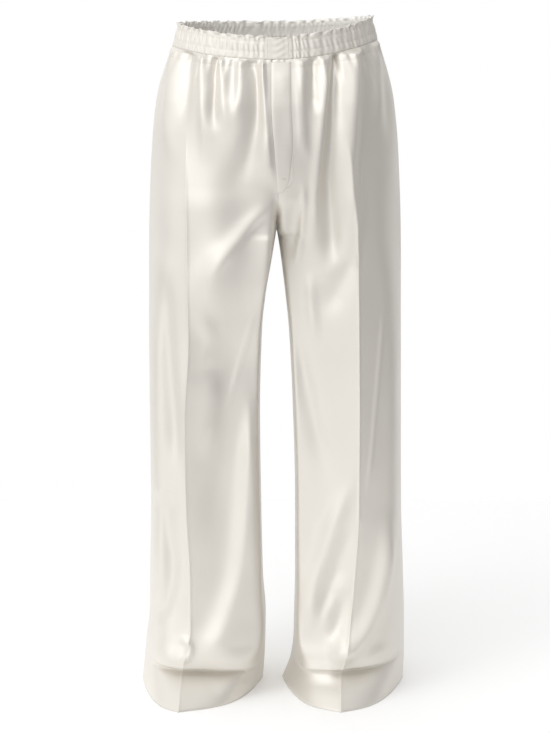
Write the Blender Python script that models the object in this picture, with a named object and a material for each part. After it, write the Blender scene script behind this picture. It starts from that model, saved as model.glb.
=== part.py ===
"""Wide-leg satin trousers with a gathered elastic waist, open and filled out as they are worn.

Metres, +Z up. The wearer faces -Y, and the origin is the centre of the waistband.
Right and left are the wearer's, so the right leg is on the -X side.
"""

import math
from collections import namedtuple

import bpy
import numpy as np

# Cloth and seams. Folds die out beside a side seam and, below the crotch, beside an inseam.
PANEL_WALL = 0.0020
BAND_WALL = 0.0016
PLACKET_WALL = 0.0011
SEAM_GAP = 0.0003
SIDE_FADE = 0.10
INSEAM_FADE = (0.80, 0.95)

# Waistband: its height, the frill above its elastic, and how far its middle line lies off the origin's level
BAND_HEIGHT = 0.030
BAND_DIP = {"front": -0.0205, "back": -0.009, "right": -0.0065, "left": 0.0035}
DIP_ENDS = -0.130
HEADING = 0.004
HEADING_FLARE = 0.0022
HEADING_SPREAD = 0.25
BAND_ROWS = (0.5, 0.0, -0.5)

# Gathers: how many go round the waist, how deep they are, and how far down the panels they run
GATHERS = 56
BAND_GATHER = 0.0012
PANEL_GATHER = 0.0022
GATHER_RUN = 0.030
SCAN = 8001

# Gathers are uneven: waves that go so many times round the waist, with a start and a size, move them along
Drift = namedtuple("Drift", "times start size")
GATHER_DRIFT = (Drift(5, 0.6, 1.6), Drift(11, 2.0, 1.1), Drift(17, 4.1, 0.7))
RUN_DRIFT = Drift(11, 1.0, 0.45)
DEPTH_DRIFT = Drift(5, 0.0, 0.15)
SEAM_CLEARANCE = 0.006

# Rise: the crotch point, and the heights in which the centre seams curve under to it and the legs part
CROTCH_Z = -0.302
RISE_CURVE = 0.115
RISE_BLEND = 0.170
HEM_Z = -1.021

# Fly: the placket on the left front, and the flat tab of the waistband above it
FLY_WIDTH = 0.028
FLY_TOP = -0.019
FLY_LENGTH = 0.214
FLY_POINT = 0.6
FLY_EASE = 0.010
FLY_FOOT = 0.030
FLY_COLUMNS = 5
FLY_END_ROWS = 6
ROW_CLEARANCE = 0.002
TAB_PAST_CENTRE = 0.002
TAB_COLUMNS = 7
TAB_EASE = 0.05
ANGLE_STEP = 0.004

# Half width and the depths in front of and behind the side seams, from the waist to the crotch
Torso = namedtuple("Torso", "z half_width front back")
TORSO = (
    Torso(0.019, 0.1465, 0.107, 0.111),
    Torso(-0.015, 0.1560, 0.115, 0.121),
    Torso(-0.045, 0.1665, 0.124, 0.134),
    Torso(-0.075, 0.1757, 0.131, 0.144),
    Torso(-0.105, 0.1817, 0.136, 0.151),
    Torso(-0.165, 0.1880, 0.140, 0.158),
    Torso(-0.225, 0.1914, 0.143, 0.162),
    Torso(-0.262, 0.1930, 0.155, 0.178),
    Torso(-0.302, 0.1942, 0.150, 0.170),
)

# Centre front seam, which swings a little to the left before the crotch
Centre = namedtuple("Centre", "z x")
CENTRE = (
    Centre(0.020, -0.0044),
    Centre(-0.095, -0.0040),
    Centre(-0.184, 0.0015),
    Centre(-0.229, 0.0050),
    Centre(-0.302, 0.0025),
)

# Each leg's outer and inner edge and its front crease, as distances out from the centre plane
Leg = namedtuple("Leg", "z outer inner crease")
RIGHT_LEG = (
    Leg(-0.302, 0.1942, -0.0025, 0.1325),
    Leg(-0.336, 0.1947, 0.0031, 0.1322),
    Leg(-0.398, 0.1952, 0.0139, 0.1318),
    Leg(-0.461, 0.1958, 0.0202, 0.1310),
    Leg(-0.588, 0.1956, 0.0234, 0.1380),
    Leg(-0.716, 0.1949, 0.0218, 0.1363),
    Leg(-0.846, 0.1977, 0.0190, 0.1305),
    Leg(-0.912, 0.1990, 0.0145, 0.1304),
    Leg(-0.948, 0.2035, 0.0150, 0.1390),
    Leg(-0.981, 0.2068, 0.0162, 0.1440),
    Leg(-1.021, 0.2115, 0.0191, 0.1480),
)
LEFT_LEG = (
    Leg(-0.302, 0.1942, 0.0025, 0.1239),
    Leg(-0.336, 0.1947, 0.0077, 0.1252),
    Leg(-0.398, 0.1952, 0.0155, 0.1267),
    Leg(-0.461, 0.1958, 0.0218, 0.1275),
    Leg(-0.588, 0.1969, 0.0281, 0.1288),
    Leg(-0.716, 0.1981, 0.0314, 0.1287),
    Leg(-0.846, 0.2024, 0.0316, 0.1215),
    Leg(-0.912, 0.2046, 0.0301, 0.1140),
    Leg(-0.948, 0.2049, 0.0294, 0.1095),
    Leg(-0.981, 0.2052, 0.0255, 0.1020),
    Leg(-1.021, 0.2035, 0.0112, 0.1004),
)

# In the rise the thigh rounds out away from the inseam between these distances below and above the crotch,
# and it does so between two shares of a panel's width
THIGH_BELOW = 0.075
THIGH_ABOVE = 0.110
THIGH_SHARES = (0.62, 0.98)

# Side view of a leg: depth of its front and back creases, how far the cloth falls away beside a crease (as a
# share of the depth, and below 0 it comes forward) and how square it stays towards the seams. Outer is from
# the front crease to the side seam, inner is from it to the inseam.
Profile = namedtuple("Profile", (
    "z", "front", "back", "right_outer", "left_outer", "outer_square", "right_inner", "left_inner",
    "inner_square", "back_square"))
PROFILE = (
    Profile(-0.262, 0.115, 0.140, 0.30, 0.34, 4.0, -0.10, 0.30, 22.0, 4.0),
    Profile(-0.302, 0.115, 0.140, 0.30, 0.36, 4.2, -0.13, 0.32, 34.0, 4.0),
    Profile(-0.360, 0.116, 0.136, 0.29, 0.38, 6.5, -0.10, 0.30, 50.0, 4.5),
    Profile(-0.430, 0.116, 0.131, 0.28, 0.38, 9.0, 0.06, 0.29, 64.0, 5.0),
    Profile(-0.510, 0.115, 0.128, 0.27, 0.38, 12.0, 0.20, 0.28, 70.0, 5.0),
    Profile(-0.700, 0.113, 0.122, 0.25, 0.36, 12.0, 0.25, 0.27, 70.0, 5.0),
    Profile(-0.800, 0.113, 0.121, 0.22, 0.32, 11.0, 0.20, 0.24, 60.0, 4.5),
    Profile(-0.880, 0.117, 0.121, 0.20, 0.28, 8.0, 0.16, 0.18, 46.0, 4.0),
    Profile(-0.930, 0.125, 0.121, 0.18, 0.22, 5.5, 0.14, 0.16, 28.0, 4.0),
    Profile(-0.956, 0.132, 0.121, 0.16, 0.18, 4.5, 0.12, 0.14, 15.0, 4.0),
    Profile(-0.964, 0.122, 0.122, 0.16, 0.18, 4.2, 0.12, 0.14, 12.0, 4.0),
    Profile(-0.971, 0.108, 0.123, 0.16, 0.18, 4.0, 0.12, 0.14, 10.0, 4.0),
    Profile(-0.979, 0.124, 0.124, 0.18, 0.20, 3.8, 0.14, 0.16, 8.0, 4.0),
    Profile(-0.995, 0.152, 0.126, 0.22, 0.24, 3.6, 0.20, 0.20, 5.5, 4.0),
    Profile(-1.021, 0.184, 0.129, 0.26, 0.28, 3.4, 0.26, 0.26, 4.2, 4.0),
)
BACK_TILT = 0.20

# Break above the shoe: the cloth folds over at this height, lower towards the inseam. Each leg has the share
# of the fold that it keeps at shares of the front panel's width. Where it fades, the front runs on evenly.
BREAK_Z = -0.971
BREAK_REACH = 0.030
BREAK_DROP = 0.011
Break = namedtuple("Break", "u right left")
BREAK = (
    Break(0.00, 0.20, 0.25),
    Break(0.06, 0.20, 0.25),
    Break(0.16, 0.20, 0.65),
    Break(0.22, 0.40, 1.00),
    Break(0.40, 1.00, 1.00),
    Break(0.46, 1.00, 0.95),
    Break(0.58, 1.00, 0.25),
    Break(0.66, 1.00, 0.25),
    Break(0.88, 0.20, 0.25),
    Break(1.00, 0.20, 0.25),
)
Even = namedtuple("Even", "z front")
EVEN_FRONT = (Even(-1.021, 0.184), Even(-0.990, 0.146), Even(-0.950, 0.131), Even(-0.910, 0.121))

# Largest folds: each runs from its start to its end through a bend, and rises (or, below 0, sinks) by height
Fold = namedtuple("Fold", "start bend end width height")
FRONT_FOLDS = (
    Fold((-0.143, -0.012), (-0.152, -0.094), (-0.150, -0.200), 0.0100, 0.0060),
    Fold((-0.126, -0.012), (-0.129, -0.090), (-0.134, -0.150), 0.0085, -0.0060),
    Fold((-0.110, -0.012), (-0.107, -0.110), (-0.103, -0.200), 0.0100, 0.0050),
    Fold((-0.088, -0.012), (-0.093, -0.080), (-0.090, -0.145), 0.0080, -0.0050),
    Fold((-0.050, -0.012), (-0.053, -0.080), (-0.062, -0.145), 0.0085, 0.0040),
    Fold((-0.034, -0.012), (-0.030, -0.140), (-0.072, -0.245), 0.0150, -0.0090),
    Fold((-0.012, -0.120), (-0.011, -0.180), (-0.013, -0.235), 0.0145, 0.0050),
    Fold((-0.100, -0.150), (-0.090, -0.290), (-0.096, -0.430), 0.0260, 0.0080),
    Fold((0.002, -0.248), (-0.066, -0.330), (-0.114, -0.430), 0.0220, 0.0085),
    Fold((-0.124, -0.400), (-0.098, -0.458), (-0.118, -0.530), 0.0130, 0.0040),
    Fold((-0.036, -0.530), (-0.047, -0.790), (-0.124, -0.962), 0.0340, 0.0140),
    Fold((-0.168, -0.330), (-0.160, -0.510), (-0.150, -0.690), 0.0140, -0.0045),
    Fold((-0.172, -0.680), (-0.162, -0.820), (-0.192, -0.920), 0.0130, -0.0045),
    Fold((0.040, -0.012), (0.040, -0.100), (0.048, -0.190), 0.0090, 0.0055),
    Fold((0.060, -0.012), (0.057, -0.070), (0.061, -0.120), 0.0070, -0.0060),
    Fold((0.075, -0.012), (0.069, -0.150), (0.057, -0.330), 0.0090, 0.0060),
    Fold((0.092, -0.012), (0.081, -0.190), (0.087, -0.370), 0.0120, -0.0090),
    Fold((0.113, -0.012), (0.108, -0.170), (0.124, -0.340), 0.0135, 0.0110),
    Fold((0.150, -0.012), (0.154, -0.080), (0.157, -0.165), 0.0100, 0.0040),
    Fold((0.026, -0.230), (0.028, -0.280), (0.032, -0.330), 0.0125, -0.0040),
    Fold((0.124, -0.310), (0.098, -0.372), (0.066, -0.440), 0.0180, -0.0040),
    Fold((0.128, -0.650), (0.078, -0.800), (0.050, -0.940), 0.0150, 0.0075),
    Fold((0.126, -0.720), (0.096, -0.820), (0.072, -0.910), 0.0140, -0.0045),
    Fold((0.174, -0.700), (0.161, -0.870), (0.076, -0.965), 0.0170, 0.0110),
)
BACK_FOLDS = (
    Fold((-0.146, -0.012), (-0.152, -0.090), (-0.155, -0.175), 0.0090, 0.0040),
    Fold((-0.118, -0.012), (-0.118, -0.090), (-0.116, -0.190), 0.0100, 0.0045),
    Fold((-0.098, -0.012), (-0.098, -0.080), (-0.100, -0.150), 0.0080, -0.0045),
    Fold((-0.083, -0.012), (-0.084, -0.100), (-0.092, -0.200), 0.0110, 0.0045),
    Fold((-0.060, -0.012), (-0.058, -0.090), (-0.062, -0.210), 0.0110, -0.0055),
    Fold((-0.040, -0.012), (-0.040, -0.080), (-0.044, -0.150), 0.0085, 0.0045),
    Fold((-0.024, -0.012), (-0.024, -0.100), (-0.028, -0.180), 0.0080, -0.0040),
    Fold((0.028, -0.012), (0.029, -0.100), (0.034, -0.190), 0.0085, -0.0045),
    Fold((0.046, -0.012), (0.046, -0.090), (0.052, -0.180), 0.0095, 0.0045),
    Fold((0.066, -0.012), (0.066, -0.100), (0.072, -0.220), 0.0110, -0.0055),
    Fold((0.088, -0.012), (0.090, -0.090), (0.090, -0.170), 0.0095, 0.0045),
    Fold((0.106, -0.012), (0.108, -0.080), (0.106, -0.140), 0.0080, -0.0045),
    Fold((0.125, -0.012), (0.128, -0.090), (0.128, -0.200), 0.0100, 0.0045),
    Fold((-0.010, -0.262), (-0.070, -0.338), (-0.128, -0.450), 0.0150, 0.0070),
    Fold((-0.014, -0.296), (-0.056, -0.352), (-0.090, -0.430), 0.0130, -0.0060),
    Fold((0.012, -0.262), (0.072, -0.342), (0.122, -0.470), 0.0150, 0.0070),
    Fold((0.014, -0.300), (0.060, -0.356), (0.092, -0.440), 0.0130, -0.0060),
    Fold((-0.030, -0.470), (-0.072, -0.720), (-0.146, -0.905), 0.0150, 0.0075),
    Fold((0.044, -0.480), (0.080, -0.730), (0.150, -0.912), 0.0150, 0.0075),
)
FOLD_STEPS = 12
FOLD_TIP = 0.03
FOLD_TAPER = 0.7

# Rows of a panel, and how many columns stand in the rows below the gathers
GATHER_ROWS = (-0.0153, -0.028, -0.046)
HIP_ROWS = (-0.072, -0.105, -0.140, -0.187)
RISE_ROWS = (0.78, 0.54, 0.34, 0.20, 0.10, 0.03, 0.0)
LEG_ROWS = (-0.309, -0.336, -0.375, -0.420, -0.475, -0.540, -0.610, -0.685, -0.760, -0.825, -0.875,
            -0.912, -0.938, -0.956, -0.964, -0.971, -0.980, -0.997, HEM_Z)
HIP_COLUMNS = 24
LEG_COLUMNS = 18
BESIDE_FLY = 0.3 / HIP_COLUMNS

# Steps in which slopes are measured, as shares of a panel's width and as a height
SIDE_STEP = 0.002
NO_LENGTH = 1e-12
SIDE_WIDENING = 14
ACROSS_STEP = 0.004
SLOPE_STEP = 0.0008

# Gathers die away below the waistband by this power of their run. The frill's waves start at these angles
GATHER_FALL = 1.5
RISE_START = 0.7
FLARE_START = 0.8

SHARP_DEGREES = 50
SATIN = (0.86, 0.83, 0.76, 1.0)
SATIN_ROUGHNESS = 0.32


def smoothstep(low, high, value):
    t = np.clip((value - low) / (high - low), 0.0, 1.0)
    return t * t * (3.0 - 2.0 * t)


def read_table(table, column, z):
    """A column of a table at height z, on a smooth curve that never swings past its points."""
    heights = np.array([row.z for row in table])[::-1]
    values = np.array([getattr(row, column) for row in table])[::-1]
    z = np.clip(z, heights[0], heights[-1])
    rise = np.diff(values) / np.diff(heights)
    same_way = rise[:-1] * rise[1:] > 0
    slope = np.zeros(len(values))
    slope[1:-1][same_way] = 2.0 * rise[:-1][same_way] * rise[1:][same_way] / (rise[:-1] + rise[1:])[same_way]
    slope[0], slope[-1] = rise[0], rise[-1]
    i = np.clip(np.searchsorted(heights, z) - 1, 0, len(heights) - 2)
    gap = heights[i + 1] - heights[i]
    t = (z - heights[i]) / gap
    return (
        (1 + 2 * t) * (1 - t) ** 2 * values[i]
        + t * (1 - t) ** 2 * gap * slope[i]
        + t * t * (3 - 2 * t) * values[i + 1]
        + t * t * (t - 1) * gap * slope[i + 1]
    )


# A panel runs round the waist from its side seam to the centre seam: its start in quarter turns, and its way
TURNS = {"leftfront": (0, -1), "leftback": (0, 1), "rightback": (2, -1), "rightfront": (-2, 1)}


class Quarter:
    """One panel of the four: which leg it is on, and whether it is a front or a back."""

    def __init__(self, leg, face):
        self.leg = leg
        self.face = face
        self.x_sign = -1 if leg == "right" else 1
        self.y_sign = -1 if face == "front" else 1
        self.table = RIGHT_LEG if leg == "right" else LEFT_LEG
        self.folds = FRONT_FOLDS if face == "front" else BACK_FOLDS
        self.turn = TURNS[leg + face]

    def angle(self, u):
        """Angle round the waist, anticlockwise from the left side seam, in radians."""
        start, way = self.turn
        return (start + way * u) * math.pi / 2

    def torso_line(self, u, z):
        half_width = self.x_sign * read_table(TORSO, "half_width", z)
        depth = self.y_sign * read_table(TORSO, self.face, z)
        centre = read_table(CENTRE, "x", z)
        x = centre + (half_width - centre) * np.cos(u * math.pi / 2)
        return x, depth * np.sin(u * math.pi / 2)

    def crease_depth(self, u, low):
        """A leg's depth at the crease, with the break above the shoe in front."""
        if self.face == "back":
            return read_table(PROFILE, "back", low)
        folding = np.exp(-(((low - BREAK_Z) / BREAK_REACH) ** 2))
        lower = low + BREAK_DROP * u * folding
        depth = read_table(PROFILE, "front", lower)
        even = np.interp(lower, [row.z for row in EVEN_FRONT], [row.front for row in EVEN_FRONT])
        kept = np.interp(u, [row.u for row in BREAK], [getattr(row, self.leg) for row in BREAK])
        return depth + (even - depth) * (1 - kept) * folding

    def leg_line(self, u, z):
        """Half of a leg's ring, from the side seam round the crease to the inseam: x, the crease's depth
        and the share of that depth, which is 0 at both seams."""
        low = np.minimum(z, CROTCH_Z)
        if z > CROTCH_Z:
            outer = self.x_sign * read_table(TORSO, "half_width", z)
            inner = read_table(CENTRE, "x", z)
        else:
            outer = self.x_sign * read_table(self.table, "outer", low)
            inner = self.x_sign * read_table(self.table, "inner", low)
        crease = self.x_sign * read_table(self.table, "crease", low)
        if self.face == "back":
            crease = (outer + inner) / 2
        depth = self.y_sign * self.crease_depth(u, low)
        t = np.where(u < 0.5, 2 * u, 2 * (1 - u))
        edge = np.where(u < 0.5, outer, inner)
        away = 1 - t * t
        if self.face == "back":
            tilt, square = BACK_TILT, read_table(PROFILE, "back_square", low)
        else:
            outside = u < 0.5
            tilt = np.where(outside, read_table(PROFILE, self.leg + "_outer", low),
                            read_table(PROFILE, self.leg + "_inner", low))
            square = np.where(outside, read_table(PROFILE, "outer_square", low),
                              read_table(PROFILE, "inner_square", low))
        return crease + (edge - crease) * away, depth, 1 - tilt * away - (1 - tilt) * away ** square

    def base(self, u, z):
        """The panel before its folds: the torso above, the leg below, and the rise between them."""
        torso_x, torso_y = self.torso_line(u, z)
        leg_x, depth, share = self.leg_line(u, z)
        leg = 1 - smoothstep(CROTCH_Z, CROTCH_Z + RISE_BLEND, z)
        up = np.clip((z - CROTCH_Z) / RISE_CURVE, 0.0, 1.0)
        seam = np.sqrt(1.0 - (1.0 - up) ** 2)
        filled = smoothstep(CROTCH_Z - THIGH_BELOW, CROTCH_Z + THIGH_ABOVE, z)
        rounded = filled + (seam - filled) * smoothstep(*THIGH_SHARES, u)
        outer_y = torso_y + (depth * share - torso_y) * leg
        inner_y = (torso_y + (depth - torso_y) * leg) * (rounded + (1 - rounded) * share)
        return torso_x + (leg_x - torso_x) * leg, np.where(u < 0.5, outer_y, inner_y)

    def out(self, u, z):
        """Which way is out, level, at a point of the base."""
        near = np.clip(u, SIDE_STEP, 1 - SIDE_STEP)
        step = SIDE_STEP * (1 + SIDE_WIDENING * np.sin(np.pi * near))
        step = np.minimum(step, np.minimum(near, 1 - near))
        x0, y0 = self.base(near - step, z)
        x1, y1 = self.base(near + step, z)
        # The tangent turned outwards; the turn is the other way on two of the quarters
        way = self.x_sign * self.y_sign
        nx, ny = way * (y1 - y0), -way * (x1 - x0)
        size = np.hypot(nx, ny) + NO_LENGTH
        return nx / size, ny / size

    def outer(self, u, z, lift=0.0):
        """Points of the panel's outside: its base, waist dip, gathers and folds, and a lift off them."""
        x, y = self.base(u, z)
        nx, ny = self.out(u, z)
        raised = folds_at(self.folds, x, z) * seam_fade(u, z) + gathers_at(self.angle(u), z)
        raised = raised * (fly_flat(x, z) if self.face == "front" else 1.0) + lift
        x, y = x + nx * raised, y + ny * raised
        z = z + waist_dip(self.leg, self.face, u) * smoothstep(DIP_ENDS, -BAND_HEIGHT / 2, z)
        shift = SEAM_GAP / 2
        return np.stack([x + self.x_sign * shift, y + self.y_sign * shift, z + 0 * u], axis=-1)

    def wall(self, u, z, thickness, lift=0.0):
        """A row's outer points, and the inner points one wall further in."""
        outside = self.outer(u, z, lift)
        after, before = np.minimum(u + ACROSS_STEP, 1.0), np.maximum(u - ACROSS_STEP, 0.0)
        across = self.outer(after, z, lift) - self.outer(before, z, lift)
        down = self.outer(u, z - SLOPE_STEP, lift) - self.outer(u, z + SLOPE_STEP, lift)
        normal = np.cross(across, down) * self.x_sign * self.y_sign
        # An edge's rim lies in the seam's own plane, so that two panels never cross there
        centre = 0 if z > CROTCH_Z else 1
        normal[u == 0.0, 1] = 0.0
        normal[u == 1.0, centre] = 0.0
        normal /= np.linalg.norm(normal, axis=1)[:, None]
        return outside, outside + normal * thickness


def seam_fade(u, z):
    """Folds die out at the side seam, the inseam and the crotch, so that the panels meet there."""
    on_torso = smoothstep(CROTCH_Z + RISE_CURVE / 2, CROTCH_Z + RISE_CURVE, z)
    return smoothstep(0.0, SIDE_FADE, u) * (1 - (1 - on_torso) * smoothstep(*INSEAM_FADE, u))


def waist_dip(leg, face, u):
    side, middle = BAND_DIP[leg], BAND_DIP[face]
    return side + (middle - side) * np.sin(u * math.pi / 2) ** 2


def fold_line(fold):
    """A fold's crest as points on one curve through its bend."""
    start, bend, end = (np.array(p) for p in (fold.start, fold.bend, fold.end))
    control = 2 * bend - (start + end) / 2
    t = np.linspace(0, 1, FOLD_STEPS)[:, None]
    return (1 - t) ** 2 * start + 2 * t * (1 - t) * control + t * t * end


def folds_at(folds, x, z):
    """Height of all the folds at points given by their place in the front view."""
    place = np.stack([np.asarray(x), np.full_like(x, z)], axis=-1)
    total = np.zeros(place.shape[0])
    for fold in folds:
        line = fold_line(fold)
        a, b = line[:-1], line[1:]
        along = ((place[:, None] - a) * (b - a)).sum(-1) / ((b - a) ** 2).sum(-1)
        kept = np.clip(along, 0, 1)
        away = np.linalg.norm(place[:, None] - (a + kept[..., None] * (b - a)), axis=-1)
        nearest = away.argmin(axis=1)
        share = (nearest + kept[np.arange(len(x)), nearest]) / len(a)
        taper = np.sin(np.pi * np.clip(share, FOLD_TIP, 1 - FOLD_TIP)) ** FOLD_TAPER
        total += fold.height * taper * np.exp(-((away.min(axis=1) / fold.width) ** 2))
    return total


def drift_at(drift, angle):
    return drift.size * np.sin(drift.times * angle + drift.start)


def gather_phase(angle):
    return GATHERS * angle + sum(drift_at(drift, angle) for drift in GATHER_DRIFT)


def gathers_at(angle, z):
    """Height of the gathers: full at the seam under the waistband, and running out down the panel."""
    below = max(0.0, -BAND_HEIGHT / 2 - z)
    run = GATHER_RUN * (1 + drift_at(RUN_DRIFT, angle))
    depth = PANEL_GATHER * (1 + drift_at(DEPTH_DRIFT, angle))
    return depth * np.sin(gather_phase(angle)) * np.exp(-((below / run) ** GATHER_FALL))


def fly_flat(x, z):
    """0 on the flat fly and 1 away from it."""
    from_fly = np.abs(x - read_table(CENTRE, "x", z) - FLY_WIDTH / 2) - FLY_WIDTH / 2
    beside = smoothstep(0.0, FLY_EASE, from_fly)
    bottom = FLY_TOP - FLY_LENGTH
    return 1 - (1 - beside) * smoothstep(bottom - FLY_FOOT, bottom, z)


def fly_edge(z):
    """The left front's column at the fly's outer edge."""
    z = max(z, FLY_TOP - FLY_LENGTH)
    reach = read_table(TORSO, "half_width", z) - read_table(CENTRE, "x", z)
    return math.acos(FLY_WIDTH / reach) / (math.pi / 2)


def with_fly(quarter, columns, z):
    """A row's columns, of which a left front has a few evenly across the fly."""
    if (quarter.leg, quarter.face) != ("left", "front"):
        return columns
    edge = fly_edge(z)
    kept = columns[columns < edge - BESIDE_FLY]
    return np.concatenate([kept, np.linspace(edge, 1.0, FLY_COLUMNS)])


def gather_columns(quarter):
    """Columns at the crest, the trough and both flanks of each gather, and at the two seams."""
    u = np.linspace(0, 1, SCAN)
    phase = gather_phase(quarter.angle(u))
    order = np.argsort(phase)
    low, high = math.ceil(phase.min() / (math.pi / 2)), math.floor(phase.max() / (math.pi / 2))
    marks = np.interp(np.arange(low, high + 1) * math.pi / 2, phase[order], u[order])
    marks = np.sort(marks)
    inside = (marks > SEAM_CLEARANCE) & (marks < 1 - SEAM_CLEARANCE)
    return np.concatenate([[0.0], marks[inside], [1.0]])


def strip_faces(upper, lower, upper_u, lower_u):
    """Faces between two rows of points whose columns may differ: quads where they agree, else triangles."""
    if len(upper) == len(lower):
        return [(upper[k], lower[k], lower[k + 1], upper[k + 1]) for k in range(len(upper) - 1)]
    faces = []
    i = j = 0
    while i < len(upper) - 1 or j < len(lower) - 1:
        step_upper = j == len(lower) - 1 or (i < len(upper) - 1 and upper_u[i + 1] <= lower_u[j + 1])
        if step_upper:
            faces.append((upper[i], lower[j], upper[i + 1]))
            i += 1
        else:
            faces.append((upper[i], lower[j], lower[j + 1]))
            j += 1
    return faces


def closed_wall(rows, columns):
    """Points and faces of a closed wall from its rows, each a pair of outer and inner points."""
    points, outer_ids, inner_ids = [], [], []
    for outside, inside in rows:
        outer_ids.append(list(range(len(points), len(points) + len(outside))))
        points.extend(outside)
        inner_ids.append(list(range(len(points), len(points) + len(inside))))
        points.extend(inside)
    faces = []
    for r in range(len(rows) - 1):
        faces += strip_faces(outer_ids[r], outer_ids[r + 1], columns[r], columns[r + 1])
        faces += [f[::-1] for f in strip_faces(inner_ids[r], inner_ids[r + 1], columns[r], columns[r + 1])]
        for end, way in ((0, 1), (-1, -1)):
            rim = (outer_ids[r][end], inner_ids[r][end], inner_ids[r + 1][end], outer_ids[r + 1][end])
            faces.append(rim[::way])
    for ids, inside, way in ((outer_ids[0], inner_ids[0], 1), (outer_ids[-1], inner_ids[-1], -1)):
        for k in range(len(ids) - 1):
            faces.append((ids[k], ids[k + 1], inside[k + 1], inside[k])[::way])
    return np.array(points), faces


def add_object(name, points, faces, material):
    mesh = bpy.data.meshes.new(name)
    mesh.from_pydata([tuple(p) for p in points], [], faces)
    mesh.update()
    corners = [points[list(f)] for f in faces]
    volume = sum(np.dot(c[0], np.cross(c[k], c[k + 1])) for c in corners for k in range(1, len(c) - 1))
    if volume < 0:
        mesh.flip_normals()
    mesh.shade_smooth()
    mesh.set_sharp_from_angle(angle=math.radians(SHARP_DEGREES))
    mesh.materials.append(material)
    made = bpy.data.objects.new(name, mesh)
    bpy.context.scene.collection.objects.link(made)
    return made


def panel_levels(quarter):
    """Heights of a panel's rows, each with its columns."""
    hip, low = np.linspace(0, 1, HIP_COLUMNS + 1), np.linspace(0, 1, LEG_COLUMNS + 1)
    rise = [CROTCH_Z + RISE_CURVE * share for share in RISE_ROWS]
    levels = [(z, with_fly(quarter, gather_columns(quarter), z)) for z in GATHER_ROWS]
    levels += [(z, with_fly(quarter, hip, z)) for z in list(HIP_ROWS) + rise]
    return levels + [(z, low) for z in LEG_ROWS]


def add_panel(leg, face, material):
    """A leg panel, from the seam under the waistband to the hem."""
    quarter = Quarter(leg, face)
    levels = panel_levels(quarter)
    rows = [quarter.wall(columns, z, PANEL_WALL) for z, columns in levels]
    points, faces = closed_wall(rows, [columns for z, columns in levels])
    return add_object(f"{face}_panel_{leg}", points, faces, material)


def band_row(angles, height, wave=1.0, raise_by=0.0, flare=0.0):
    """A row of the waistband's wall, at a share of its height from -0.5 at the bottom to 0.5 at the top."""
    z = height * BAND_HEIGHT
    front, right = np.sin(angles) < 0, np.cos(angles) < 0
    centre = read_table(CENTRE, "x", z) * front
    half_width = read_table(TORSO, "half_width", z)
    depth = np.where(front, read_table(TORSO, "front", z), read_table(TORSO, "back", z))
    side_dip = np.where(right, BAND_DIP["right"], BAND_DIP["left"])
    middle_dip = np.where(front, BAND_DIP["front"], BAND_DIP["back"])
    dip = side_dip + (middle_dip - side_dip) * np.sin(angles) ** 2
    side = np.where(right, -half_width, half_width)
    middle = np.stack([
        centre + (side - centre) * np.abs(np.cos(angles)),
        depth * np.sin(angles),
        z + dip + raise_by + 0 * angles,
    ], axis=-1)
    out = np.stack([np.cos(angles) / half_width, np.sin(angles) / depth, 0 * angles], axis=-1)
    out /= np.linalg.norm(out, axis=1)[:, None]
    gather = BAND_GATHER * (1 + drift_at(DEPTH_DRIFT, angles)) * np.sin(gather_phase(angles)) * wave
    outside = middle + out * (gather + flare)[:, None]
    return outside, outside - out * BAND_WALL


def tab_angles():
    """Where the flat tab at the centre front starts and ends round the waist."""
    half_width, centre = TORSO[0].half_width, CENTRE[0].x
    starts = math.asin((centre - TAB_PAST_CENTRE) / half_width)
    ends = math.asin((centre + FLY_WIDTH) / half_width)
    return starts - math.pi / 2, ends - math.pi / 2


def add_waistband(material):
    """The elastic casing, gathered all round but for the tab, with a small frill above its elastic."""
    tab_starts, tab_ends = tab_angles()
    gap = SEAM_GAP / TORSO[0].half_width
    start, end = tab_ends + gap, tab_starts + 2 * math.pi - gap
    angles = np.linspace(start, end, SCAN)
    phase = gather_phase(angles)
    first, last = math.ceil(2 * phase[0] / math.pi), math.floor(2 * phase[-1] / math.pi)
    columns = np.interp(np.arange(first, last + 1) * math.pi / 2, phase, angles)
    columns = columns[(columns > start + ANGLE_STEP) & (columns < end - ANGLE_STEP)]
    columns = np.concatenate([[start], columns, [end]])
    flat_end = smoothstep(0, TAB_EASE, np.minimum(columns - start, end - columns))
    frill = gather_phase(columns)
    rise = HEADING * (1 + HEADING_SPREAD * np.sin(frill / 2 + RISE_START))
    flare = HEADING_FLARE * np.sin(frill + FLARE_START) * flat_end
    rows = [band_row(columns, BAND_ROWS[0], flat_end, rise, flare)]
    rows += [band_row(columns, height, flat_end) for height in BAND_ROWS]
    points, faces = closed_wall(rows, [columns] * len(rows))
    return add_object("waistband", points, faces, material)


def add_waist_tab(material):
    """The flat tab at the centre front, between the ends of the gathered casing."""
    start, end = tab_angles()
    columns = np.linspace(start, end, TAB_COLUMNS)
    rows = [band_row(columns, BAND_ROWS[0], 0.0, HEADING / 2)]
    rows += [band_row(columns, height, 0.0) for height in BAND_ROWS]
    points, faces = closed_wall(rows, [columns] * len(rows))
    return add_object("waist_tab", points, faces, material)


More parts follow.
